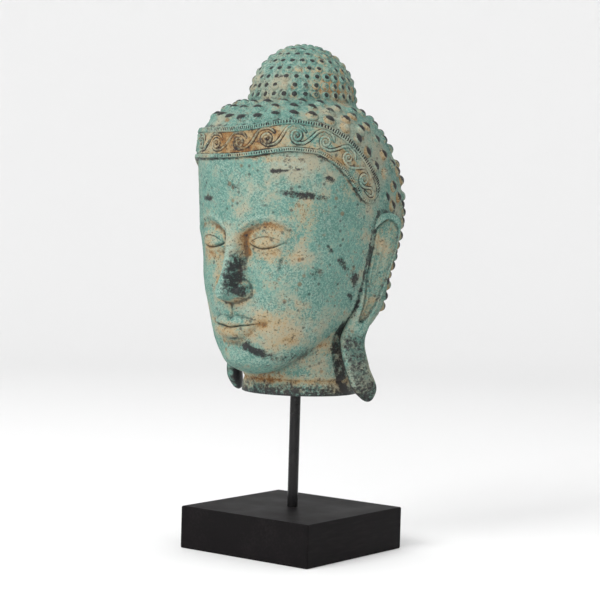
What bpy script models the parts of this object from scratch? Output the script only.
"""A cast head of the Buddha with a verdigris finish, on a steel rod set in a square wooden block.

The head is one casting: face, band, curls, ears and neck. It is described in parts, of which its height
from chin to crown has 250, around an upright axis through the rod, with zero at the tips of the ears.
The front looks along -Y. Its skin is a net of directions from the heart of the head, joined into triangles,
and each direction is carried out to where it leaves the solid form.
"""

import math

import bmesh
import bpy
import numpy as np
from mathutils import Vector
from mathutils.geometry import delaunay_2d_cdt

# Sizes in metres
BLOCK_WIDTH = 0.150
BLOCK_THICK = 0.040
BLOCK_EDGE = 0.0015
ROD_DIAMETER = 0.010
ROD_SHOWN = 0.110
ROD_IN_BLOCK = 0.026
ROD_IN_HEAD = 0.070
FIT_GAP = 0.0003
HEAD_HEIGHT = 0.250

HEAD_PARTS = 250.0
PART = HEAD_HEIGHT / HEAD_PARTS
NECK_CUT = BLOCK_THICK + ROD_SHOWN
NECK_LOW = 5.5
HEAD_ZERO = NECK_CUT - NECK_LOW * PART
ROUND_SIDES = 32

# The heart of the head, from which the net of directions spreads, in parts
HEART = np.array([0.0, 0.0, 146.0])

# Level sections of the skull: height, middle (+ is back), half width, half depth
SKULL = [
    (26, -63.0, 0.0, 0.0),
    (34, -60.5, 28.0, 22.5),
    (45, -52.0, 41.0, 36.0),
    (60, -40.0, 52.5, 52.0),
    (80, -23.0, 63.5, 71.0),
    (100, -11.0, 72.0, 85.0),
    (125, -3.7, 79.5, 93.7),
    (150, 0.7, 84.5, 100.0),
    (170, 1.5, 87.0, 102.5),
    (190, 0.8, 88.0, 102.5),
    (212, -3.0, 87.5, 100.5),
    (233, -9.5, 84.5, 93.5),
    (250, -15.5, 80.0, 83.5),
    (266, -14.0, 66.0, 68.0),
    (277, -8.0, 48.0, 46.0),
    (281, -8.0, 0.0, 0.0),
]
FRONT_POWER = [(26, 2.0), (90, 2.1), (160, 2.15), (220, 2.15), (281, 2.2)]
BACK_POWER = 2.1

# The hair mass over the nape, the topknot and the neck, in parts
NAPE_MIDDLE = (0.0, 18.0, 122.0)
NAPE_HALF = (74.0, 55.0, 72.0)
NAPE_POWER = 2.5
KNOT_MIDDLE = (0.0, -2.0, 279.5)
KNOT_HALF = (50.0, 50.0, 52.0)
NECK_MIDDLE = 6.0
NECK_RADIUS = 54.0
NECK_FLARE = 1.0
NECK_CREASE_AT = 19.0
NECK_CREASE_DEEP = 1.8
NECK_BLEND = 6.0
KNOT_BLEND = 3.0

# The band's middle line: turn from the front and lift from the heart, in degrees. It dips at the front.
BAND_LINE = [
    (-86, 26),
    (-81, 30),
    (-73.5, 35.2),
    (-64.5, 39.8),
    (-55, 42.2),
    (-45, 42.9),
    (-32, 42.2),
    (-20, 41.4),
    (-10, 41.2),
    (0, 41.3),
    (10, 41.8),
    (20, 43),
    (32, 44.6),
    (45, 44.9),
    (55, 43.6),
    (64.5, 40.8),
    (73.5, 35.8),
    (81, 30),
    (86, 26),
]
BAND_WIDE = 29.0
BAND_ROUND = 15.0
BAND_STATIONS = 261
BAND_NUDGE = 0.01
BAND_PROUD = 2.4
RIM_PROUD = 1.3
RIM_WIDE = 3.4

# The rows of hair run round an axis that leans back
HAIR_TILT = math.radians(27.7)

# Curls of the hair in rows that run with the band, and of the knot in rows of a lift in degrees and a count
CURL_RADIUS = 5.8
CURL_TALL = 5.2
CURL_ALONG = 16.4
CURL_ROWS = 12
CURL_APART = 0.72
KNOT_CURL_TALL = 2.7
KNOT_ROWS = [
    (2.5, 32),
    (12, 32),
    (21.5, 31),
    (31, 29),
    (41, 26),
    (51.5, 21),
    (62, 16),
    (72.5, 10),
    (82.5, 5),
]
# The lower border of the hair, as an angle round the hair's axis and one from it, both in degrees
HAIRLINE = [
    (0, 71.8),
    (8, 70.4),
    (15, 67.6),
    (23, 64.4),
    (31, 61.8),
    (42, 60.2),
    (52, 59.0),
    (59, 59.2),
    (67, 60.5),
    (76, 63.5),
    (83, 66.0),
    (93, 73.0),
    (111, 91.0),
    (132, 111.0),
    (150, 114.0),
    (180, 111.0),
]

# Ears, in level sections: height, out from the head's side, back, width, thickness, flare in degrees
EAR = [
    (1.2, 7.1, 9.0, 0.0, 0.0, 34.0),
    (4.5, 7.2, 7.5, 12.0, 9.0, 34.0),
    (17.0, 7.7, 2.0, 25.0, 15.0, 33.0),
    (35.0, 4.0, -2.5, 24.0, 15.0, 32.0),
    (58.0, -3.6, -0.5, 24.0, 14.0, 34.0),
    (75.0, 0.0, 3.0, 23.0, 14.5, 31.0),
    (91.0, 4.8, 7.0, 23.0, 15.5, 25.0),
    (126.0, 3.9, 9.5, 28.0, 17.0, 22.0),
    (150.0, 3.4, 12.0, 31.0, 16.0, 22.0),
    (165.0, 4.1, 13.0, 31.0, 13.0, 24.0),
    (173.0, 3.9, 14.0, 23.0, 9.0, 25.0),
    (177.0, 3.7, 14.0, 0.0, 0.0, 25.0),
]
# Below this height an ear hangs free, and stands off the side that the head has here
EAR_FREE = 91.0
EAR_HOLLOW = (80.0, 168.0)
EAR_HOLLOW_DEEP = 6.0
EAR_ROUND = 0.85
EAR_STATIONS = 17
EAR_SIDES = 14
EAR_CLEAR = 4.0
EAR_BESIDE = 6.0
NECK_STATIONS = 48
# Rings round the neck above its cut: heights, and where the chin begins and how far forward they may go
NECK_RINGS = [11.0, 16.5, 19.0, 21.5, 28.0]
NECK_CHIN = 22.0
NECK_AHEAD = -42.0

# The net's spacing over the band, the face and the plain parts, in parts
BAND_SPACING = 6.2
FACE_SPACING = 5.6
PLAIN_SPACING = 8.5
PLAIN_RADIUS = 105.0
NET_GAP = 6.0
LINE_GAP = 1.3
FILL_GAP = 0.62
ROW_STEP = 0.87


def smooth_through(points):
    """A smooth curve through the points that never overshoots them, as a function of arrays."""
    knots, values = np.array(points, float).T
    gap = np.diff(knots)
    slope = np.diff(values) / gap
    tangent = np.zeros(len(knots))
    tangent[0], tangent[-1] = slope[0], slope[-1]
    for i in range(1, len(knots) - 1):
        if slope[i - 1] * slope[i] > 0:
            before, after = 2 * gap[i] + gap[i - 1], gap[i] + 2 * gap[i - 1]
            tangent[i] = (before + after) / (before / slope[i - 1] + after / slope[i])

    def at(x):
        i = np.clip(np.searchsorted(knots, x) - 1, 0, len(gap) - 1)
        t = np.clip((x - knots[i]) / gap[i], 0.0, 1.0)
        ahead = t - 1.0
        return (
            (1 + 2 * t) * ahead**2 * values[i]
            + t * ahead**2 * gap[i] * tangent[i]
            + t**2 * (3 - 2 * t) * values[i + 1]
            + t**2 * ahead * gap[i] * tangent[i + 1]
        )

    return at


def column(table, place, power=1):
    """One column of a table of sections against its first, raised to a power, as a smooth curve."""
    return smooth_through([(row[0], row[place] ** power) for row in table])


def step(value, at, width):
    """0 well below a place and 1 well above it."""
    return 0.5 * (1.0 + np.tanh((value - at) / width))


def hill(value, at, width):
    """A smooth rise of height 1 about a place."""
    return np.exp(-(((value - at) / width) ** 2))


def unit(vectors):
    """The vectors at length 1."""
    vectors = np.asarray(vectors, float)
    return vectors / np.linalg.norm(vectors, axis=-1, keepdims=True)


def greater(a, b, blend):
    """The greater of two values, rounded where they cross."""
    return 0.5 * (a + b + np.sqrt((a - b) ** 2 + blend**2))


skull_middle = column(SKULL, 1)
skull_wide2 = column(SKULL, 2, 2)
skull_deep2 = column(SKULL, 3, 2)
front_power = smooth_through(FRONT_POWER)
hairline = smooth_through(HAIRLINE)


def in_skull(at):
    """True where a point is inside the lofted skull."""
    x, y, z = at.T
    wide = np.sqrt(np.maximum(skull_wide2(z), 1e-6))
    deep = np.sqrt(np.maximum(skull_deep2(z), 1e-6))
    off = y - skull_middle(z)
    power = np.where(off < 0, front_power(z), BACK_POWER)
    full = (np.abs(x) / wide) ** power + (np.abs(off) / deep) ** power
    return (full < 1) & (z > SKULL[0][0]) & (z < SKULL[-1][0])


def in_nape(at):
    """True where a point is inside the hair mass over the nape."""
    share = np.abs(at - NAPE_MIDDLE) / NAPE_HALF
    return (share**NAPE_POWER).sum(axis=1) < 1


def neck_radius(z):
    """The neck's radius at a height: a low flare at the cut and one crease."""
    flare = NECK_FLARE * (1 - step(z, NECK_LOW + 6.0, 2.5))
    return NECK_RADIUS + flare - NECK_CREASE_DEEP * hill(z, NECK_CREASE_AT, 2.0)


def in_neck(at):
    """True where a point is inside the neck, above its cut."""
    x, y, z = at.T
    return (np.hypot(x, y - NECK_MIDDLE) < neck_radius(z)) & (z > NECK_LOW - 1) & (z < HEART[2] + 4)


def reach(inside, toward):
    """How far each direction goes from the heart before it leaves a form."""
    near, far = np.zeros(len(toward)), np.full(len(toward), 260.0)
    for _ in range(26):
        middle = (near + far) / 2
        held = inside(HEART + toward * middle[:, None])
        near, far = np.where(held, middle, near), np.where(held, far, middle)
    return (near + far) / 2


def reach_knot(toward):
    """How far each direction goes before it leaves the topknot, or 0 where it misses it."""
    start = (HEART - KNOT_MIDDLE) / KNOT_HALF
    way = toward / KNOT_HALF
    a = (way**2).sum(axis=1)
    b = way @ start
    under = b**2 - a * (start @ start - 1)
    return np.where(under > 0, (-b + np.sqrt(np.maximum(under, 0))) / a, 0.0)


def bare_form(toward):
    """The points of the plain form, with no face, band or curls, along the directions given."""
    far = greater(reach(in_skull, toward), reach(in_nape, toward), NECK_BLEND)
    far = greater(far, reach(in_neck, toward), NECK_BLEND)
    far = greater(far, reach_knot(toward), KNOT_BLEND)
    down = -toward[:, 2]
    floor = np.where(down > 0.05, (HEART[2] - NECK_LOW) / np.maximum(down, 0.05), np.inf)
    return HEART + toward * np.minimum(far, floor)[:, None]


AXIS = np.array([0.0, math.sin(HAIR_TILT), math.cos(HAIR_TILT)])
AHEAD = np.array([0.0, -math.cos(HAIR_TILT), math.sin(HAIR_TILT)])
ACROSS = np.array([1.0, 0.0, 0.0])


def row_place(at):
    """Where a point is in the hair's own terms: its angle round the hair's axis and its height along it."""
    off = at - HEART
    return np.arctan2(off @ ACROSS, off @ AHEAD), off @ AXIS


def band_line():
    """The band's middle line on the plain form: points, directions along and across, and lengths."""
    turns = np.linspace(BAND_LINE[0][0], BAND_LINE[-1][0], BAND_STATIONS)
    turn, lift = np.radians(turns), np.radians(smooth_through(BAND_LINE)(turns))
    sides = []
    for nudge in (0.0, BAND_NUDGE):
        level = np.cos(lift + nudge)
        toward = np.stack([np.sin(turn) * level, -np.cos(turn) * level, np.sin(lift + nudge)], axis=1)
        sides.append(bare_form(toward))
    points = sides[0]
    along = unit(np.gradient(points, axis=0))
    rise = sides[1] - points
    across = unit(rise - along * (rise * along).sum(axis=1)[:, None])
    length = np.concatenate([[0], np.cumsum(np.linalg.norm(np.diff(points, axis=0), axis=1))])
    return points, along, across, length - length[-1] / 2


LINE_POINTS, LINE_ALONG, LINE_ACROSS, LINE_LENGTH = band_line()
BAND_END = LINE_LENGTH[-1]


def band_place(at):
    """Where points are in the band's own terms: how far along its middle line and how far above it."""
    nearest = np.array([((LINE_POINTS - p) ** 2).sum(axis=1).argmin() for p in at])
    off = at - LINE_POINTS[nearest]
    along = LINE_LENGTH[nearest] + (off * LINE_ALONG[nearest]).sum(axis=1)
    return along, (off * LINE_ACROSS[nearest]).sum(axis=1)


def band_direction(along, above):
    """The directions to places a distance along the band's middle line and a distance above it."""
    middle = np.stack([np.interp(along, LINE_LENGTH, LINE_POINTS[:, k]) for k in range(3)], axis=1)
    across = np.stack([np.interp(along, LINE_LENGTH, LINE_ACROSS[:, k]) for k in range(3)], axis=1)
    return unit(middle + across * above[:, None] - HEART)


def in_hair(at):
    """True where a point of the form lies in the hair."""
    angle, height = row_place(at)
    tilt = np.degrees(np.arccos(height / np.linalg.norm(at - HEART, axis=1)))
    return tilt < hairline(np.degrees(np.abs(angle)))


# The face, on the thirds of the head: brow, foot of the nose and chin
BROW = smooth_through([(0, 157), (8, 159), (20, 166.5), (34, 170), (48, 166), (60, 157), (72, 144)])
SOCKET = smooth_through([(0, 0), (6, 1), (12, 7), (20, 7.5), (34, 5.5), (48, 4), (60, 1.5), (70, 0)])
LID = smooth_through([(14, 146.5), (20, 143.8), (29, 142), (38, 143.4), (44, 146.2), (49, 149)])
RIDGE = smooth_through(
    [
        (88, 18),
        (97, 21),
        (102, 21.8),
        (107, 20.5),
        (114, 17.5),
        (126, 13),
        (140, 8.5),
        (150, 5.5),
        (158, 3.5),
        (166, 1.2),
        (174, 0),
    ]
)
RIDGE_WIDE = smooth_through(
    [(88, 10.5), (100, 10.5), (108, 9.5), (120, 8), (135, 7), (150, 6.5), (158, 7.5), (174, 11)]
)
LIP_UPPER = smooth_through([(0, 6.2), (5, 8.6), (9, 8.2), (16, 5.6), (22, 2.6), (25.5, 0.3)])
LIP_LOWER = smooth_through([(0, 10.5), (8, 10.2), (15, 7.8), (21, 4), (25.5, 0.3)])
LIP_TOP_FORM = smooth_through([(0, 1.8), (0.15, 3.2), (0.4, 3.9), (0.75, 2.7), (1, 1.5), (1.3, 0)])
LIP_LOW_FORM = smooth_through([(0, 2), (0.15, 4), (0.42, 5.2), (0.8, 3.6), (1, 2), (1.3, 0)])
# Swellings and dips of the face: middle by side and height, half sizes by side and height, and how proud
CHIN = (0.0, 41.0, 15.0, 11.0, 5.0)
CHEEK = (44.0, 108.0, 20.0, 24.0, 3.0)
FOLD = (0.0, 54.5, 17.0, 4.5, -2.6)
LIP_CORNER = (28.0, 74.0, 4.0, 4.5, -2.2)
LIP_MOUND = (0.0, 74.0, 30.0, 25.0, 5.5)
WING = (12.3, 102.5, 6.2, 8.0, 12.5)
WING_CREASE = 1.0
EYE_AT = (31.0, 149.0)
EYE_HALF = (19.5, 13.0)
EYE_PROUD = 6.5
MOUTH_AT = 70.5
MOUTH_HALF = 25.5
NOSE_FOOT = 94.0


def swell(side, z, form, power=1.0):
    """A swelling or dip of the face, from its table."""
    at_side, at_z, wide, tall, proud = form
    return proud * np.exp(-((((side - at_side) / wide) ** 2 + ((z - at_z) / tall) ** 2) ** power))


def eye_relief(side, z):
    """How far forward the brow, socket and closed lids stand."""
    below = BROW(side) - z
    fade = 1 - step(below, 32.0, 9.0)
    relief = -SOCKET(side) * (1 - np.exp(-((np.maximum(below, 0) / 4.5) ** 2))) * fade
    relief += 1.0 * hill(below, 0.0, 2.4) * step(side, 9.0, 3.0) * (1 - step(side, 60.0, 4.0))
    ball = 1 - ((side - EYE_AT[0]) / EYE_HALF[0]) ** 2 - ((z - EYE_AT[1]) / EYE_HALF[1]) ** 2
    relief += EYE_PROUD * np.maximum(ball, 0) ** 0.7
    open_here = step(side, 15.0, 1.0) * (1 - step(side, 48.0, 1.0))
    above = z - LID(side)
    relief += 1.2 * step(above, 0.0, 0.6) * np.exp(-((np.maximum(above, 0) / 9.0) ** 2)) * open_here
    relief += 0.7 * hill(above, -3.6, 1.3) * open_here
    return relief - 1.7 * hill(above, -0.8, 1.0) * open_here


def nose_relief(side, z):
    """How far forward the nose stands."""
    ridge = RIDGE(z) * np.exp(-0.9 * (side / RIDGE_WIDE(z)) ** 3)
    wing = swell(side, z, WING, 1.5)
    around = ((side - WING[0]) / WING[2]) ** 2 + ((z - WING[1]) / WING[3]) ** 2 - 1.6
    crease = WING_CREASE * np.exp(-4 * around**2) * step(side, 9.0, 1.5)
    nose = greater(ridge, wing, 2.0) - np.exp(-(ridge + wing)) - crease
    return nose * step(z, nose_low(side), 1.2)


def lip_meet(side):
    """The height of the line where the lips meet."""
    return MOUTH_AT - 1.0 * hill(side, 0, 5.0) + 3.2 * (side / MOUTH_HALF) ** 2


def nose_low(side):
    """The height of the nose's underside."""
    return NOSE_FOOT + 0.014 * side**2


def mouth_relief(side, z):
    """How far forward the lips and the mound around them stand."""
    mound = swell(side, z, LIP_MOUND, 1.3)
    mound -= 1.3 * hill(side, 0, 2.8) * step(z, 80.0, 1.5) * (1 - step(z, 93.0, 1.5))
    meet = lip_meet(side)
    taper = np.sqrt(np.clip(1 - (side / (MOUTH_HALF + 1)) ** 2, 0, 1))
    upper = LIP_TOP_FORM(np.maximum(z - meet, 0) / LIP_UPPER(side)) * (z > meet)
    lower = LIP_LOW_FORM(np.maximum(meet - z, 0) / LIP_LOWER(side)) * (z <= meet)
    lips = (upper + lower) * taper * (1 - step(side, MOUTH_HALF, 0.7))
    line = 1.8 * hill(z, meet, 0.8) * (1 - step(side, MOUTH_HALF - 0.5, 0.8))
    return mound + lips - line + swell(side, z, LIP_CORNER)


def face_relief(x, z):
    """How far forward the features stand of the plain form, by place on the front."""
    side = np.abs(x)
    swells = sum(swell(side, z, form) for form in (CHIN, CHEEK, FOLD))
    return eye_relief(side, z) + nose_relief(side, z) + mouth_relief(side, z) + swells


def band_half(along):
    """Half the band's width, which rounds off at its two ends."""
    left = np.clip((BAND_END - np.abs(along)) / BAND_ROUND, 0, 1)
    return BAND_WIDE / 2 * np.sqrt(1 - (1 - left) ** 2)


def band_relief(along, above):
    """How far the band and its two rims stand out."""
    inner = np.maximum(band_half(along), 0.01) - np.abs(above)
    on = step(inner, 0.0, 0.7) * (np.abs(along) < BAND_END + 1.0)
    rim = on * (1 - step(inner, RIM_WIDE, 0.6))
    return BAND_PROUD * on + RIM_PROUD * rim


def head_side(z, back):
    """How far out the head's side is at a height and a place back: the skull's or the nape's."""
    off = abs(back - float(skull_middle(z))) / math.sqrt(float(skull_deep2(z)))
    skull = math.sqrt(float(skull_wide2(z))) * (1 - off**BACK_POWER) ** (1 / BACK_POWER)
    low = abs(z - NAPE_MIDDLE[2]) / NAPE_HALF[2]
    off = abs(back - NAPE_MIDDLE[1]) / NAPE_HALF[1]
    nape = NAPE_HALF[0] * max(0.0, 1 - low**NAPE_POWER - off**NAPE_POWER) ** (1 / NAPE_POWER)
    return max(skull, nape)


EAR_OUT = smooth_through([(row[0], head_side(max(row[0], EAR_FREE), row[2]) + row[1]) for row in EAR])
EAR_COLUMNS = [EAR_OUT, column(EAR, 2), column(EAR, 3, 2), column(EAR, 4, 2), column(EAR, 5)]


def ear_section(z):
    """An ear at a height: its middle, half its width and thickness, and its two directions."""
    out, back, wide2, thick2, flare = (curve(float(z)) for curve in EAR_COLUMNS)
    flare = math.radians(flare)
    across = np.array([math.sin(flare), math.cos(flare)])
    facing = np.array([math.cos(flare), -math.sin(flare)])
    middle = np.array([float(out), float(back)])
    return middle, math.sqrt(max(wide2, 0.04)) / 2, math.sqrt(max(thick2, 0.04)) / 2, across, facing


def by_ear(place, margin):
    """True where a place lies in an ear or within a margin of it."""
    if not EAR[0][0] - margin < place[2] < EAR[-1][0] + margin:
        return False
    middle, half, thick, across, facing = ear_section(np.clip(place[2], EAR[1][0], EAR[-2][0]))
    off = np.array([abs(place[0]), place[1]]) - middle
    return abs(off @ across) < half + margin and abs(off @ facing) < thick + margin + EAR_BESIDE


def knot_direction(turn, lift):
    """The direction to a place on the topknot, by its turn round the knot and its lift above the level."""
    level = math.cos(lift)
    out = np.array([math.sin(turn) * level, -math.cos(turn) * level, math.sin(lift)])
    return unit(KNOT_MIDDLE + out * KNOT_HALF - HEART)


def knot_dips():
    """Directions to the low places between the knot's curls: beside each one and above it."""
    toward = []
    for row, (lift, count) in enumerate(KNOT_ROWS):
        after = KNOT_ROWS[row + 1][0] if row + 1 < len(KNOT_ROWS) else 90.0
        here, between = math.radians(lift), math.radians((lift + after) / 2)
        for i in range(count):
            beside, over = 2 * math.pi * i / count, 2 * math.pi * (i + 0.5) / count
            toward.append(knot_direction(beside, here))
            if after < 90.0:
                toward.append(knot_direction(beside, between))
                toward.append(knot_direction(over, between))
    return np.array(toward)


def curl_places():
    """The curls: directions and heights, over the knot and in rows that run with the band."""
    toward, tall = [], []
    for lift, count in KNOT_ROWS:
        for i in range(count):
            toward.append(knot_direction(2 * math.pi * (i + 0.5) / count, math.radians(lift)))
            tall.append(KNOT_CURL_TALL)
    toward.append(knot_direction(0.0, math.pi / 2))
    tall.append(KNOT_CURL_TALL)
    kept = list(bare_form(np.array(toward)))
    turn = np.linspace(-math.pi, math.pi, 721)
    lowest = np.radians(hairline(np.degrees(np.abs(turn))))
    for row in range(CURL_ROWS):
        share = 1 - (row + 0.7) / CURL_ROWS
        out = np.cos(turn)[:, None] * AHEAD + np.sin(turn)[:, None] * ACROSS
        line = np.cos(lowest * share)[:, None] * AXIS + np.sin(lowest * share)[:, None] * out
        ring = bare_form(line)
        along = np.concatenate([[0], np.cumsum(np.linalg.norm(np.diff(ring, axis=0), axis=1))])
        count = max(3, round(along[-1] / CURL_ALONG))
        stations = (np.arange(count) + 0.5 * (row % 2)) * along[-1] / count
        for at in stations:
            place = np.array([np.interp(at, along, ring[:, k]) for k in range(3)])
            along_band, above = (float(value[0]) for value in band_place(place[None, :]))
            if np.linalg.norm(np.array(kept) - place, axis=1).min() < CURL_APART * CURL_ALONG:
                continue
            on_band = abs(along_band) < BAND_END + CURL_RADIUS and above < BAND_WIDE / 2 + CURL_RADIUS
            if by_ear(place, EAR_CLEAR) or on_band:
                continue
            kept.append(place)
            toward.append(unit(place - HEART))
            tall.append(CURL_TALL)
    return np.array(toward), np.array(tall)


def front_direction(x, z):
    """The directions that meet the front of the skull at places given by side and height."""
    wide, deep = np.sqrt(skull_wide2(z)), np.sqrt(skull_deep2(z))
    share = np.clip(np.abs(x) / wide, 0, 0.98)
    power = front_power(z)
    y = skull_middle(z) - deep * (1 - share**power) ** (1 / power)
    return unit(np.stack([x, y, z - HEART[2]], axis=1))


def feature_lines():
    """Places of one half of the face that its edges run through, by side and height."""
    lines = []
    for s in np.linspace(14, 48, 10):
        lines += [(s, LID(s) + off) for off in (1.4, -0.8, -3.8)]
    for s in np.linspace(7, 62, 13):
        lines += [(s, BROW(s) + off) for off in (0.5, -5.0)]
    for s in (0.0, 3.5, 7.5, 11.5, 15.5, 19.5, 23.5):
        meet = lip_meet(s)
        upper, lower = LIP_UPPER(s), LIP_LOWER(s)
        lines += [(s, meet + off) for off in (0.0, 0.42 * upper, upper + 0.4, -0.42 * lower, -lower - 0.6)]
    lines += [(MOUTH_HALF + 1.5, 73.7)]
    for z in (98, 101, 104, 108, 113, 119, 126, 133, 140, 147, 154, 161):
        lines += [(off * RIDGE_WIDE(z), z) for off in (0.0, 0.62, 1.35)]
    for turn in np.radians(np.arange(-100, 130, 30)):
        for share in (0.8, 1.3):
            out, up = share * WING[2] * math.cos(turn), share * WING[3] * math.sin(turn)
            lines += [(WING[0] + out, WING[1] + up)]
    for s in (0.0, 3.5, 7.5, 12.0):
        lines += [(s, nose_low(s) + off) for off in (1.8, -2.0)]
    around_eye = [(0, 0), (-6, 3), (6, 3), (0, 6), (0, 11), (13, 4), (-13, 3)]
    lines += [(EYE_AT[0] + off, EYE_AT[1] + rise) for off, rise in around_eye]
    return lines


def apart(points, others, gap):
    """Those of the points that stand at least a gap from all the others and from each other."""
    held = [np.asarray(o, float) for o in others]
    for point in points:
        if not held or np.linalg.norm(np.array(held) - point, axis=1).min() >= gap:
            held.append(point)
    return held[len(others):]


def face_net(pitch):
    """Directions over the face: its feature lines, and between them a net of triangles at a pitch."""
    lines = apart(np.array(feature_lines(), float), [], LINE_GAP)
    fill = []
    for row, z in enumerate(np.arange(30.0, 228.0, pitch * ROW_STEP)):
        fill += [((i + 0.5 * (row % 2)) * pitch, z) for i in range(int(80 / pitch))]
    fill = [p for p in fill if p[0] < 0.93 * math.sqrt(skull_wide2(p[1]))]
    half = np.array(lines + apart(np.array(fill), lines, FILL_GAP * pitch))
    half[half[:, 0] < 0.4, 0] = 0.0
    other = half[half[:, 0] > 0] * [-1, 1]
    both = np.concatenate([half, other])
    toward = front_direction(both[:, 0], both[:, 1])
    _, above = band_place(bare_form(toward))
    return toward[above < -BAND_WIDE / 2 - 2.2]


def band_net(pitch):
    """Directions along the band: its two feet, its edges, and the edges of its rims."""
    toward = []
    stations = np.linspace(-1, 1, 2 * round(BAND_END / pitch) + 1) * (BAND_END - 0.5)
    half = band_half(stations)
    for inner in (-1.2, 0.9, RIM_WIDE - 0.5, RIM_WIDE + 1.0):
        for side in (-1, 1):
            use = half > inner + 1.0
            toward.append(band_direction(stations[use], side * (half - inner)[use]))
    use = half > RIM_WIDE + 3.5
    toward.append(band_direction(stations[use][::2], np.zeros(use.sum())[::2]))
    for side in (-1, 1):
        end = np.full(3, side * (BAND_END + 1.5))
        toward.append(band_direction(end, np.array([-5.0, 0.0, 5.0])))
    return np.concatenate(toward)


def neck_net():
    """Directions to rings round the neck, with the ring of its cut first, and the number in that ring."""
    toward = []
    turn = 2 * math.pi * np.arange(NECK_STATIONS) / NECK_STATIONS
    for z in (NECK_LOW, *NECK_RINGS):
        radius = float(neck_radius(z))
        x, y = radius * np.sin(turn), NECK_MIDDLE - radius * np.cos(turn)
        at = np.stack([x, y, np.full(len(turn), z)], axis=1)
        if z > NECK_CHIN:
            at = at[at[:, 1] > NECK_AHEAD]
        toward.append(unit(at - HEART))
    return np.concatenate(toward), NECK_STATIONS


def plain_net(pitch):
    """Directions spread evenly all round, for the plain parts."""
    count = int(4 * math.pi * PLAIN_RADIUS**2 / (ROW_STEP * pitch**2))
    at = np.arange(count) + 0.5
    turn, up = math.pi * (3 - math.sqrt(5)) * at, np.arccos(1 - 2 * at / count)
    return np.stack([np.sin(turn) * np.sin(up), -np.cos(turn) * np.sin(up), np.cos(up)], axis=1)


def meridian_shares():
    """How far along its meridian, from crown to cut, each direction of an even grid lies."""
    turn, up = np.linspace(0, 2 * math.pi, 73), np.linspace(0, math.pi, 361)
    grid = np.stack(np.meshgrid(turn, up, indexing="ij"), axis=-1).reshape(-1, 2)
    level = np.sin(grid[:, 1])
    toward = np.stack([np.sin(grid[:, 0]) * level, -np.cos(grid[:, 0]) * level, np.cos(grid[:, 1])], axis=1)
    points = bare_form(toward).reshape(len(turn), len(up), 3)
    along = np.linalg.norm(np.diff(points, axis=1), axis=2).cumsum(axis=1)
    along = np.concatenate([np.zeros((len(turn), 1)), along], axis=1)
    return along / along[:, -1:]


def triangles_of(toward, shares):
    """Join directions into triangles of even shape on the form, leaving the neck's cut open."""
    turn = np.mod(np.arctan2(toward[:, 0], -toward[:, 1]), 2 * math.pi)
    up = np.arccos(np.clip(toward[:, 2], -1, 1))
    i, j = turn / (2 * math.pi) * (shares.shape[0] - 1), up / math.pi * (shares.shape[1] - 1)
    i0, j0 = np.minimum(i.astype(int), shares.shape[0] - 2), np.minimum(j.astype(int), shares.shape[1] - 2)
    fi, fj = i - i0, j - j0
    share = (shares[i0, j0] * (1 - fi) + shares[i0 + 1, j0] * fi) * (1 - fj)
    share += (shares[i0, j0 + 1] * (1 - fi) + shares[i0 + 1, j0 + 1] * fi) * fj
    spread = np.tan(share * math.pi / 2)
    flat = np.stack([np.sin(turn) * spread, -np.cos(turn) * spread], axis=1)
    cut = delaunay_2d_cdt([Vector(p) for p in flat], [], [], 0, 1e-9)
    source = [ids[0] for ids in cut[3]]
    return np.array([[source[i] for i in face] for face in cut[2]])


def corner_normals(points, faces):
    """The normal at each point, from the triangles round it."""
    a, b, c = (points[faces[:, k]] for k in range(3))
    across = np.cross(b - a, c - a)
    total = np.zeros_like(points)
    for k in range(3):
        np.add.at(total, faces[:, k], across)
    return unit(total)


def head_skin():
    """The head without its ears: points in parts, and triangles."""
    neck, ring = neck_net()
    curls, tall = curl_places()
    band, face, dips = band_net(BAND_SPACING), face_net(FACE_SPACING), knot_dips()
    fixed = np.concatenate([neck, band, face, dips, curls])
    lift = np.concatenate([np.zeros(len(fixed) - len(curls)), tall])
    at = bare_form(fixed)
    spare = plain_net(PLAIN_SPACING)
    spare_at = bare_form(spare)
    gap = np.array([np.linalg.norm(at - p, axis=1).min() for p in spare_at])
    use = (gap > NET_GAP) & (spare_at[:, 2] > NECK_LOW + 2.0) & ~in_hair(spare_at)
    toward = np.concatenate([fixed, spare[use]])
    lift = np.concatenate([lift, np.zeros(use.sum())])
    shares = meridian_shares()
    faces = triangles_of(toward, shares)
    among = ((lift[faces] > 0).sum(axis=1) >= 2) & ((lift[faces] == CURL_TALL).sum(axis=1) >= 1)
    dips = unit(toward[faces[among]].mean(axis=1))
    toward = np.concatenate([toward, dips])
    lift = np.concatenate([lift, np.zeros(len(dips))])
    faces = triangles_of(toward, shares)
    points = bare_form(toward)
    normals = corner_normals(points, faces)
    if (normals * toward).sum() < 0:
        faces, normals = faces[:, ::-1], -normals
    along, above = band_place(points)
    proud = band_relief(along, above)
    front = step(-points[:, 1], 15.0, 4.0) * (above < 1 - BAND_WIDE / 2)
    relief = face_relief(points[:, 0], points[:, 2]) * front
    points = points + normals * (lift + proud)[:, None] + np.array([0.0, -1.0, 0.0]) * relief[:, None]
    middle = len(points)
    points = np.concatenate([points, [[0.0, NECK_MIDDLE, NECK_LOW]]])
    points[:ring, 2] = NECK_LOW
    lids = [[i, (i + 1) % ring, middle] for i in range(ring)]
    return points, np.concatenate([faces, lids])


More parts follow.
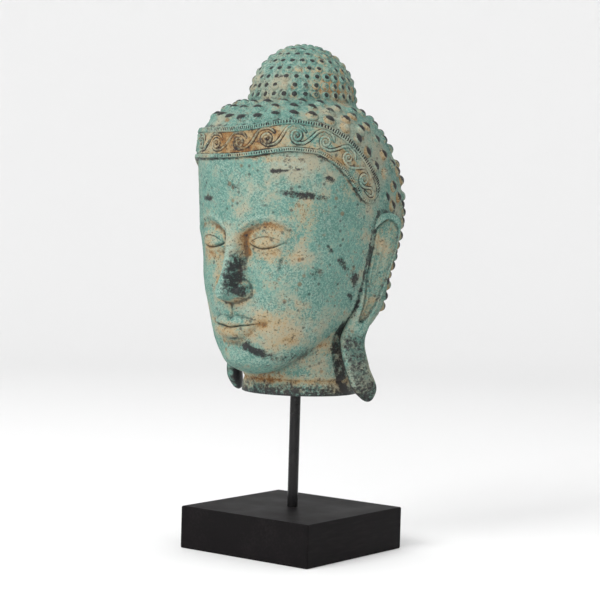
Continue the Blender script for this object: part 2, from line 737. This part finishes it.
def ear_skin(side):
    """One ear on the side given by its sign: points in parts, and faces."""
    low, high = EAR[0][0], EAR[-1][0]
    heights = (low + high) / 2 - (high - low) / 2 * np.cos(np.linspace(0, math.pi, EAR_STATIONS + 2)[1:-1])
    points, faces = [], []
    for z in heights:
        middle, half, thick, across, facing = ear_section(z)
        deep = EAR_HOLLOW_DEEP * float(step(z, EAR_HOLLOW[0], 5.0) * (1 - step(z, EAR_HOLLOW[1], 3.0)))
        for k in range(EAR_SIDES):
            turn = 2 * math.pi * k / EAR_SIDES
            u = half * math.copysign(abs(math.cos(turn)) ** EAR_ROUND, math.cos(turn))
            n = thick * math.copysign(abs(math.sin(turn)) ** EAR_ROUND, math.sin(turn))
            if n > 0:
                n -= min(deep, thick * 1.2) * math.exp(-((u / (0.5 * half)) ** 4))
            x, y = middle + across * u + facing * n
            points.append((side * x, y, z))
    for z in (low, high):
        middle = ear_section(z)[0]
        points.append((side * middle[0], middle[1], z))
    count = EAR_STATIONS
    for j in range(count - 1):
        for k in range(EAR_SIDES):
            a, b = j * EAR_SIDES + k, j * EAR_SIDES + (k + 1) % EAR_SIDES
            faces.append((a, b, b + EAR_SIDES, a + EAR_SIDES))
    for k in range(EAR_SIDES):
        faces.append((count * EAR_SIDES, (k + 1) % EAR_SIDES, k))
        last = (count - 1) * EAR_SIDES
        faces.append((count * EAR_SIDES + 1, last + k, last + (k + 1) % EAR_SIDES))
    return points, faces


def add_solid(name, points, faces, scale=1.0, lift=0.0):
    """Add a closed mesh to the scene with its faces turned outward."""
    mesh = bpy.data.meshes.new(name)
    places = [Vector(p) * scale + Vector((0, 0, lift)) for p in points]
    mesh.from_pydata(places, [], [list(map(int, f)) for f in faces])
    work = bmesh.new()
    work.from_mesh(mesh)
    bmesh.ops.recalc_face_normals(work, faces=work.faces[:])
    bmesh.ops.triangulate(work, faces=work.faces[:])
    if work.calc_volume(signed=True) < 0:
        bmesh.ops.reverse_faces(work, faces=work.faces[:])
    work.to_mesh(mesh)
    work.free()
    made = bpy.data.objects.new(name, mesh)
    bpy.context.scene.collection.objects.link(made)
    return made


def round_bar(name, radius, low, high):
    """An upright round bar between two heights."""
    points, faces = [], []
    for z in (low, high):
        for k in range(ROUND_SIDES):
            turn = 2 * math.pi * k / ROUND_SIDES
            points.append((radius * math.cos(turn), radius * math.sin(turn), z))
    for k in range(ROUND_SIDES):
        after = (k + 1) % ROUND_SIDES
        faces.append((k, after, ROUND_SIDES + after, ROUND_SIDES + k))
    faces += [tuple(range(ROUND_SIDES)), tuple(range(ROUND_SIDES, 2 * ROUND_SIDES))]
    return add_solid(name, points, faces)


def combine(target, other, operation):
    """Join or cut one solid by another, which goes unseen."""
    change = target.modifiers.new(other.name, "BOOLEAN")
    change.operation, change.solver, change.object = operation, "EXACT", other
    other.hide_render = True
    other.display_type = "WIRE"


def finish(target, name, color, roughness, metallic=0.0):
    """Give a solid its material."""
    made = bpy.data.materials.new(name)
    made.use_nodes = True
    shader = made.node_tree.nodes["Principled BSDF"]
    shader.inputs["Base Color"].default_value = (*color, 1.0)
    shader.inputs["Roughness"].default_value = roughness
    shader.inputs["Metallic"].default_value = metallic
    target.data.materials.append(made)


def block_skin():
    """The square block with its edges eased: points and faces."""
    work = bmesh.new()
    bmesh.ops.create_cube(work, size=1.0)
    bmesh.ops.scale(work, vec=(BLOCK_WIDTH, BLOCK_WIDTH, BLOCK_THICK), verts=work.verts)
    bmesh.ops.translate(work, vec=(0, 0, BLOCK_THICK / 2), verts=work.verts)
    bmesh.ops.bevel(work, geom=work.edges[:], offset=BLOCK_EDGE, segments=2, profile=0.5, affect="EDGES")
    points = [v.co[:] for v in work.verts]
    faces = [[v.index for v in f.verts] for f in work.faces]
    work.free()
    return points, faces


def build():
    """Build the block, the rod and the head."""
    for old in list(bpy.data.objects):
        bpy.data.objects.remove(old, do_unlink=True)
    foot, top = BLOCK_THICK - ROD_IN_BLOCK, NECK_CUT + ROD_IN_HEAD
    bore = ROD_DIAMETER / 2 + FIT_GAP

    block = add_solid("block", *block_skin())
    combine(block, round_bar("cut_block_socket", bore, foot, BLOCK_THICK + 0.01), "DIFFERENCE")
    finish(block, "black_wood", (0.012, 0.011, 0.012), 0.5)

    rod = round_bar("rod", ROD_DIAMETER / 2, foot + FIT_GAP, top - FIT_GAP)
    finish(rod, "black_steel", (0.015, 0.015, 0.017), 0.4)

    head = add_solid("head", *head_skin(), PART, HEAD_ZERO)
    for side, name in ((1, "cut_ear_left"), (-1, "cut_ear_right")):
        combine(head, add_solid(name, *ear_skin(side), PART, HEAD_ZERO), "UNION")
    combine(head, round_bar("cut_neck_socket", bore, NECK_CUT - 0.01, top), "DIFFERENCE")
    finish(head, "verdigris", (0.22, 0.42, 0.36), 0.75)


build()
